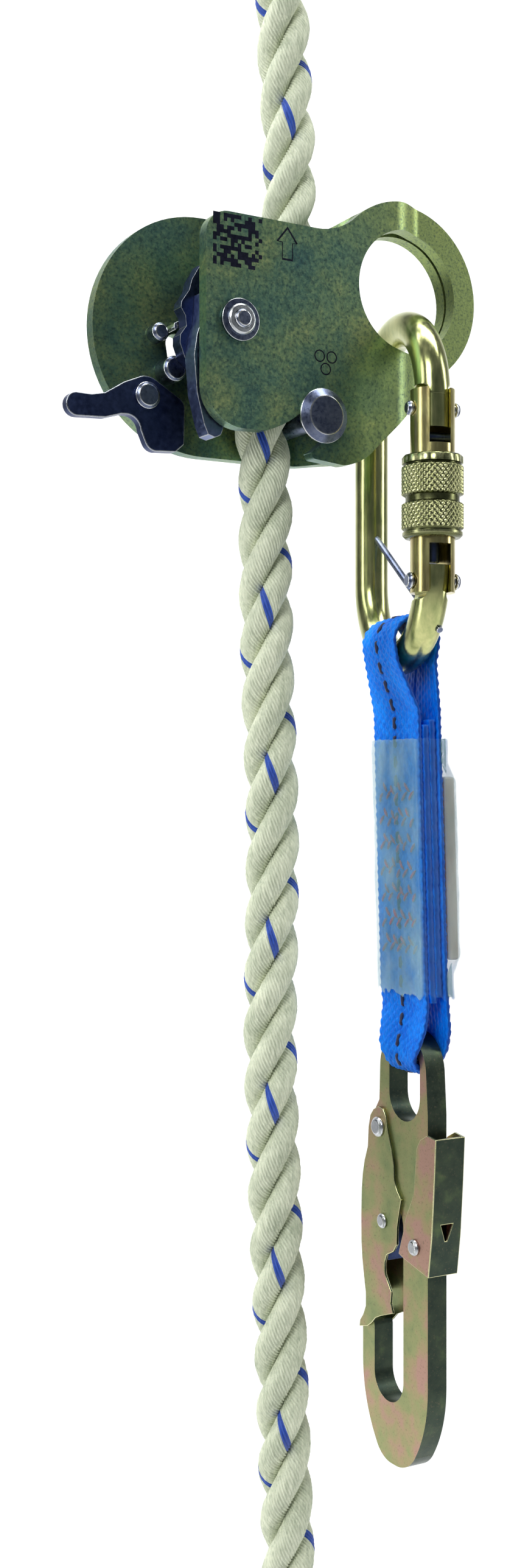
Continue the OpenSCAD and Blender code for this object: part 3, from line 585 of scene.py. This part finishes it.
def eye_loop(parts, centre):
    """Three strands laid round the thimble as a closed ring."""
    count = 160
    loop = [centre + EYE_R * Vector((math.sin(TAU * i / count), 0, -math.cos(TAU * i / count)))
            for i in range(count)]
    dirs = directions(loop, True)
    for k in range(3):
        rows = strand_rows(loop, dirs, EYE_HELIX_R, TAU * EYE_R / 3, TAU * k / 3,
                           EYE_STRAND_R, 0, 7 * k)
        parts.sweep(rows, closed=True)


def splice_strand(parts, column, dirs, k):
    """One strand of the splice. Odd ones are tucked, and taper to a tip at the lower end."""
    tucked = k % 2
    helix_0, radius_0 = (TUCK_HELIX_R, TUCK_TIP_R) if tucked else (HELIX_R, STRAND_R)

    def grown(i):
        return min(1, i / (SPLICE_STEPS * 0.6))

    def helix(i):
        f = grown(i)
        over_under = 0.45 * MM * math.sin(i * 0.45 + 3 * tucked) * f
        return helix_0 * (1 - f) + SPLICE_HELIX_R * f + over_under

    def radius(i):
        f = grown(i)
        return radius_0 * (1 - f) + SPLICE_STRAND_R * f

    parts.sweep(strand_rows(column, dirs, helix, LAY, TAU * k / 6, radius, 0, 11 * k))


def make_eye():
    """The spliced eye: a laid rope round the thimble, and six strands in the splice below it."""
    low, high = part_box("eye_splice")
    middle = (low.x + high.x) / 2
    parts = Parts()
    eye_loop(parts, Vector((middle, 0, high.z - EYE_R - EYE_ROPE_R)))
    column = [Vector((middle, 0, low.z + i * ROPE_STEP)) for i in range(SPLICE_STEPS + 1)]
    dirs = directions(column)
    for k in range(6):
        splice_strand(parts, column, dirs, k)
    return parts.build("rope_eye", "rope", [ROPE], ["eye_splice"])


make_eye()


# ---------- sling ----------

# middle of the sling, its turn and its share of full width by height, as in the CAD
SLING_X = [(-203, 40), (-192, 41.3), (-106, 40.4), (-92, 38.6)]
SLING_Y = [(-198, -10.2), (-186, -8.4), (-106, -6), (-92, -5.5)]
SLING_TURN = [(-203, 0), (-192, -3), (-106, -3), (-92, -12.7)]
SLING_SHARE = [(-207.3, 0.584), (-203, 0.8), (-198, 0.92), (-190, 1)]
HALF_STACK = 4.35
HALF_WEB = 12.5
WEB_T = 2.0
COLUMN = 1.8       # width of one rib of the weave
PICK = 2.6         # length of one pick of the weave
WEAVE_H = 0.6      # height of the picks on the outer face
INNER_WEAVE = 0.45 # share of that height on the inner face
WEB_STEP = 0.5
OUTER_HALF_T = 0.68    # half thickness under the picks
INNER_HALF_T = 1.16
SEAM_GROOVE = 0.3
EDGE_LOOP = 0.32   # how far the weft's loops stand out at the edges
LOOP_TOP_Z, LOOP_TOP_R = -85.8, 6.85
LOOP_LOW_Z, LOOP_LOW_R = -204.9, 5.25
STACK_TOP_Z, STACK_LOW_Z = -106, -192
SEAM_Z = -150      # where the strap's two ends meet
DASH_PITCH, DASH_STEPS, DASH_R = 5.6, 8, 0.55 * MM
TACK_ROWS, TACK_TOP_Z, TACK_PITCH, TACK_R = 7, -129.5, 7.4, 0.42 * MM


def lookup(z, table):
    if z <= table[0][0]:
        return table[0][1]
    for (z0, v0), (z1, v1) in zip(table, table[1:]):
        if z <= z1:
            return v0 + (v1 - v0) * (z - z0) / (z1 - z0)
    return table[-1][1]


def in_sling(x, y, z):
    """A point of the sling's own section, in millimetres, as a place in metres."""
    t = math.radians(lookup(z, SLING_TURN))
    w = y * lookup(z, SLING_SHARE)
    return Vector((
        lookup(z, SLING_X) + x * math.cos(t) - w * math.sin(t),
        lookup(z, SLING_Y) + x * math.sin(t) + w * math.cos(t), z)) * MM


def loop_arc(r, z, a0, a1, n=24):
    return [Vector((r * math.cos(math.radians(a0 + (a1 - a0) * i / n)), 0,
                    z + r * math.sin(math.radians(a0 + (a1 - a0) * i / n)))) for i in range(n + 1)]


def sling_line():
    """The middle of the outer layer, once round, as (x, 0, z) in millimetres."""
    side = HALF_STACK - WEB_T / 2
    seam = Vector((-side, 0, SEAM_Z))
    fine = [seam, Vector((-side, 0, STACK_TOP_Z))]
    fine += loop_arc(LOOP_TOP_R, LOOP_TOP_Z, 180, 0)
    fine += [Vector((side, 0, STACK_TOP_Z)), Vector((side, 0, STACK_LOW_Z))]
    fine += loop_arc(LOOP_LOW_R, LOOP_LOW_Z, 0, -180)
    fine += [Vector((-side, 0, STACK_LOW_Z)), seam]
    line = even_line(fine, WEB_STEP)[:-1]
    for _ in range(8):
        line = [(line[i - 1] + 2 * p + line[(i + 1) % len(line)]) / 4 for i, p in enumerate(line)]
    return line


def weave(u, s):
    """Height of the webbing's weave: ribs along it, each with its picks."""
    rib = u / COLUMN
    pick = 0.5 + 0.5 * math.sin(TAU * s / PICK + math.pi * (math.floor(rib) % 2))
    return WEAVE_H * abs(math.sin(math.pi * rib)) ** 0.7 * (0.2 + 0.8 * pick)


def ribbon_rows(line, dirs, half, half_t, groove, count):
    """Rings of a woven strap; each goes across its outer face and back across its inner one."""
    rows = []
    step = (line[1] - line[0]).length
    for i, (p, t) in enumerate(zip(line, dirs)):
        out = Vector((-t.z, 0, t.x))
        row = []
        for face in (1, -1):
            for k in range(count):
                u = face * half * (1 - 2 * (k + 0.5) / count)
                edge = (1 - abs(u / half) ** 10) ** 0.5
                rise = weave(u, i * step) * (1 if face == 1 else INNER_WEAVE)
                h = half_t * edge + rise - groove * math.exp(-(u / 0.9) ** 2)
                loop = EDGE_LOOP * math.sin(i * step * TAU / PICK + p.x) * (abs(u / half) > 0.96)
                q = p + out * face * h
                row.append(in_sling(q.x, u + math.copysign(loop, u), q.z))
        rows.append(row)
    return rows


def on_strap(line, dirs, s, lift):
    """A place on the middle of the strap's outer face."""
    step = (line[1] - line[0]).length
    i = int(s / step) % len(line)
    t = dirs[i]
    q = line[i] + Vector((-t.z, 0, t.x)) * lift
    return in_sling(q.x, 0, q.z)


def seam_dashes(parts, line, dirs):
    """The dark dashed seam down the middle of the strap."""
    for i in range(int(WEB_STEP * len(line) / DASH_PITCH)):
        dash = [on_strap(line, dirs, DASH_PITCH * i + WEB_STEP * j,
                         0.75 if j in (0, DASH_STEPS - 1) else 0.95) for j in range(DASH_STEPS)]
        parts.sweep(cord_rows(dash, DASH_R, 8), slot=1)


def bar_tacks(parts):
    """Rows of red zigzag stitches through the joined layers."""
    draw = random.Random(5)
    for row in range(TACK_ROWS):
        for i in range(9):
            u = -8.6 + 2.1 * i + draw.uniform(-0.3, 0.3)
            zigzag = 1.2 if i % 2 else -1.2
            z = TACK_TOP_Z - TACK_PITCH * row + zigzag + draw.uniform(-0.5, 0.5)
            lean = draw.uniform(0.7, 1.4) * (1 if i % 2 else -1)
            tack = [in_sling(-HALF_STACK - (0.1 if abs(f) == 1 else 0.24), u + lean * f, z + 1.3 * f)
                    for f in (-1, -0.5, 0, 0.5, 1)]
            parts.sweep(cord_rows(tack, TACK_R, 8), slot=2)


def make_sling():
    line = sling_line()
    dirs = directions(line, True)
    parts = Parts()
    outer = ribbon_rows(line, dirs, HALF_WEB, OUTER_HALF_T, SEAM_GROOVE, 72)
    parts.sweep(outer, closed=True)
    for x, foot in ((-1.08, -190), (1.08, -188.5)):
        inner = [Vector((x, 0, foot + i)) for i in range(81)]
        parts.sweep(ribbon_rows(inner, directions(inner), HALF_WEB - 0.1, INNER_HALF_T, 0, 40))
    seam_dashes(parts, line, dirs)
    bar_tacks(parts)
    return parts.build("sling_webbing", "sling", [WEB, THREAD_DARK, THREAD_RED],
                       ["webbing_sling"])


FILM_TOP, FILM_LOW = -114, -188.2
FILM_X = (-HALF_STACK - 0.75, HALF_STACK + 4.3)
FILM_Y = HALF_WEB + 0.55
FILM_CORNER = 1.4
FILM_HALF_T = 0.12
FILM_ROWS = 96
TAG_Z, TAG_HALF = -151.5, 25.5     # the tag that fills the film's right side
SLACK = 2.4                        # how far the film falls in where no tag fills it


def film_ring():
    """The film's outline across the sling, with round corners, anticlockwise."""
    (x0, x1), y1, r = FILM_X, FILM_Y, FILM_CORNER
    outline = []
    for cx, cy, a0 in ((x1 - r, y1 - r, 0), (x0 + r, y1 - r, 90),
                       (x0 + r, -y1 + r, 180), (x1 - r, -y1 + r, 270)):
        for i in range(9):
            a = math.radians(a0 + 90 * i / 8)
            outline.append(Vector((cx + r * math.cos(a), cy + r * math.sin(a), 0)))
    return even_line(outline + outline[:1], 0.8)[:-1]


def film_row(ring, outward, f, lift):
    """One ring of the film: f runs from 0 at its top to 1 at its torn lower end."""
    row = []
    for p, out in zip(ring, outward):
        place = Vector((p.x * 0.4, p.y * 0.3, 0))
        top = FILM_TOP + 0.5 * noise.noise(place * 2)
        corner = 0.8 * (p.x > 2) * (p.y < 0)
        torn = 1.6 * noise.noise(place * 2.2 + Vector((9, 0, 0))) - corner
        z = top + (FILM_LOW + torn - top) * f
        crease = 0.25 * noise.noise(Vector((p.x * 0.25, p.y * 0.2, z * 0.09)))
        fold = 0.16 * noise.noise(Vector((p.x * 0.5 + 7, p.y * 0.5, z * 0.35)))
        past_tag = max(0, min(1, (abs(z - TAG_Z) - TAG_HALF) / 5))
        slack = SLACK * past_tag if p.x > HALF_STACK + 1 else 0
        q = p + out * (crease + fold + lift)
        row.append(in_sling(q.x - slack, q.y, z))
    return row


def make_film():
    """A clear sleeve round the stack and its tag: a thin creased tube with torn ends."""
    ring = film_ring()
    outward = [Vector((t.y, -t.x, 0)) for t in directions(ring, True)]
    steps = [i / FILM_ROWS for i in range(FILM_ROWS + 1)]
    rows = [film_row(ring, outward, f, FILM_HALF_T) for f in steps]
    rows += [film_row(ring, outward, f, -FILM_HALF_T) for f in steps[::-1]]
    parts = Parts()
    parts.sweep([row[::-1] for row in rows], closed=True)
    return parts.build("sling_film", "sling", [film_paint()], ["clear_sleeve"])


make_sling()
make_film()


# ---------- knurled sleeve ----------

SLEEVE_BORE = 6.38
DIAMONDS = 36          # knurl diamonds in one turn
DIAMOND_H = 1.9
KNURL_DEPTH, KNURL_FLOOR = 0.45, 0.42
AROUND = 252
FACETS = 14
FACET_DEPTH = 0.28
PLAIN, KNURLED, FACETED = range(3)


def tooth(a):
    """A triangle wave from 0 to 1 with a period of 1."""
    return 1 - abs(2 * (a % 1) - 1)


def knurl_band(r, z0, z1):
    steps = round((z1 - z0) / 0.27)
    return [(r - KNURL_FLOOR, z0 + (z1 - z0) * i / steps, KNURLED if 0 < i < steps else PLAIN)
            for i in range(steps + 1)]


def sleeve_outline(r, z0, z1):
    """Radius, height and kind of each ring, up the outside from the bore."""
    outline = [(SLEEVE_BORE, z0, PLAIN), (r - 1, z0, PLAIN), (r - 0.25, z0 + 0.8, PLAIN),
               (r - 0.25, z0 + 1.6, PLAIN), (r - 0.7, z0 + 1.8, PLAIN), (r - 0.7, z0 + 2.1, PLAIN)]
    outline += knurl_band(r, z0 + 2.4, z0 + 9.7)
    outline += [(r - 1.1, z0 + 10.1, PLAIN), (r - 1.15, z0 + 10.9, PLAIN),
                (r - 1.1, z0 + 11.7, PLAIN)]
    outline += knurl_band(r, z0 + 12.1, z1 - 3)
    outline += [(r - 0.95, z1 - 2.7, PLAIN), (r - 0.95, z1 - 2.5, PLAIN),
                (r - 0.1, z1 - 2.3, FACETED), (r - 0.1, z1 - 0.5, FACETED),
                (r - 0.6, z1, FACETED), (SLEEVE_BORE, z1, PLAIN)]
    return outline


def raised(kind, f, z):
    """Height of the knurl or the facets at the share f of a turn, in millimetres."""
    if kind == KNURLED:
        a, b = f * DIAMONDS + z / DIAMOND_H, f * DIAMONDS - z / DIAMOND_H
        return KNURL_DEPTH * min(1, 1.5 * min(tooth(a), tooth(b)))
    if kind == FACETED:
        return -FACET_DEPTH * (1 - math.cos(math.pi * (f * FACETS % 1 - 0.5)))
    return 0.0


def make_sleeve():
    low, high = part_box("lock_sleeve")
    c = (low + high) / 2
    rows = []
    for radius, z, kind in sleeve_outline((high.x - low.x) / 2 / MM, low.z / MM, high.z / MM):
        row = []
        for k in range(AROUND):
            f = k / AROUND
            here = (radius + raised(kind, f, z)) * MM
            a = TAU * f
            row.append(Vector((c.x + here * math.cos(a), c.y + here * math.sin(a), z * MM)))
        rows.append(row)
    parts = Parts()
    parts.sweep(rows, closed=True)
    sleeve = parts.build("sleeve_knurled", "lock_sleeve", [sleeve_paint(c)],
                         ["lock_sleeve"])
    sleeve.data.set_sharp_from_angle(angle=math.radians(50))
    return sleeve


make_sleeve()


# ---------- printed marks on the front plate ----------

ARROW = [(-6.4, 18.6), (-6.4, 23.7), (-8.2, 23.7), (-4.6, 28.1), (-1.3, 23.7), (-2.9, 23.7),
         (-2.9, 18.6)]
ARROW_MIDDLE = (-4.7, 22.4)
RING_R = 1.75
RINGS = [(5.9, -6.6), (9.9, -6.6), (7.9, -10.1)]
CELL = 1.1
CELL_COLUMNS, CELL_ROWS = 14, 13
CELLS_FROM = (-28.2, 14.4)
CELL_SHARE = 0.56      # share of the cells that are printed


def slab(parts, face, outline):
    """A closed outline of (x, z) in millimetres as a very thin raised print."""
    parts.sweep([[Vector((x * MM, face + lift * MM, z * MM)) for x, z in outline]
                 for lift in (0.01, -0.025)])


def border(parts, face, outline, share, centre):
    """A line round an outline; its width is a share of the way to the centre."""
    cx, cz = centre
    inner = [(x + (cx - x) * share, z + (cz - z) * share) for x, z in outline]
    for i in range(len(outline)):
        j = (i + 1) % len(outline)
        slab(parts, face, [outline[i], inner[i], inner[j], outline[j]])


def make_marks():
    """Plain generic marks: an arrow, three rings and a block of random cells."""
    low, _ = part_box("front_plate")
    parts = Parts()
    border(parts, low.y, ARROW, 0.14, ARROW_MIDDLE)
    for cx, cz in RINGS:
        ring = [(cx + RING_R * math.cos(TAU * i / 28), cz + RING_R * math.sin(TAU * i / 28))
                for i in range(28)]
        border(parts, low.y, ring, 0.2, (cx, cz))
    draw = random.Random(11)
    for i in range(CELL_COLUMNS):
        for j in range(CELL_ROWS):
            if draw.random() < CELL_SHARE:
                x, z = CELLS_FROM[0] + CELL * i, CELLS_FROM[1] + CELL * j
                slab(parts, low.y, [(x, z), (x, z + CELL), (x + CELL, z + CELL), (x + CELL, z)])
    parts.build("plate_marks", "front_plate", [INK], smooth=False)


make_marks()


# ---------- room and light ----------

FLOOR_Z = -0.62
FLOOR_FROM, FLOOR_TO = -1.6, 0.9
WALL_CURVE = 0.5
WALL_TOP = 1.6
ROOM_SIDES = (-2.4, 3.2)
ROOM_TURN = math.radians(-30)      # square to the camera


def make_backdrop():
    """A pale floor that curves up into a wall behind."""
    profile = [(FLOOR_FROM, FLOOR_Z), (FLOOR_TO, FLOOR_Z)]
    for step in range(1, 10):
        a = math.radians(10 * step)
        profile.append((FLOOR_TO + WALL_CURVE * math.sin(a),
                        FLOOR_Z + WALL_CURVE * (1 - math.cos(a))))
    profile.append((FLOOR_TO + WALL_CURVE, WALL_TOP))
    rows = [(x, y, z) for y, z in profile for x in ROOM_SIDES]
    faces = [(2 * i, 2 * i + 1, 2 * i + 3, 2 * i + 2) for i in range(len(profile) - 1)]
    mesh = bpy.data.meshes.new("backdrop")
    mesh.from_pydata(rows, [], faces)
    mesh.polygons.foreach_set("use_smooth", [True] * len(faces))
    mesh.materials.append(backdrop_paint())
    obj = bpy.data.objects.new("backdrop", mesh)
    bpy.context.scene.collection.objects.link(obj)
    obj.rotation_euler = (0, 0, ROOM_TURN)


def area_light(name, place, target, size, power):
    data = bpy.data.lights.new(name, "AREA")
    data.shape = "RECTANGLE"
    data.size, data.size_y = size
    data.energy = power
    obj = bpy.data.objects.new(name, data)
    bpy.context.scene.collection.objects.link(obj)
    obj.location = place
    obj.rotation_mode = "QUATERNION"
    obj.rotation_quaternion = (Vector(target) - Vector(place)).to_track_quat("-Z", "Y")


PART_MIDDLE = (0.01, 0, -0.1)
WALL_MIDDLE = (0.6, 1.1, -0.1)
# name, place, target, size in metres, power in watts
LIGHTS = [
    ("key", (-1.0, -0.75, 0.75), PART_MIDDLE, (0.5, 0.7), 11),
    ("side", (0.95, -0.55, 0.2), PART_MIDDLE, (0.22, 1.2), 5),
    ("left", (-0.9, 0.15, 0.0), PART_MIDDLE, (0.2, 1.2), 3),
    ("wall", (-0.1, 0.15, 0.9), WALL_MIDDLE, (1.6, 0.5), 26),
]
SKY = (0.86, 0.93, 1.0, 1)
SKY_STRENGTH = 0.13


def light_scene():
    world = bpy.data.worlds.new("studio")
    bpy.context.scene.world = world
    world.use_nodes = True
    sky = world.node_tree.nodes["Background"].inputs
    sky["Color"].default_value = SKY
    sky["Strength"].default_value = SKY_STRENGTH
    for light in LIGHTS:
        area_light(*light)
    bpy.context.scene.view_settings.view_transform = "Standard"


make_backdrop()
light_scene()
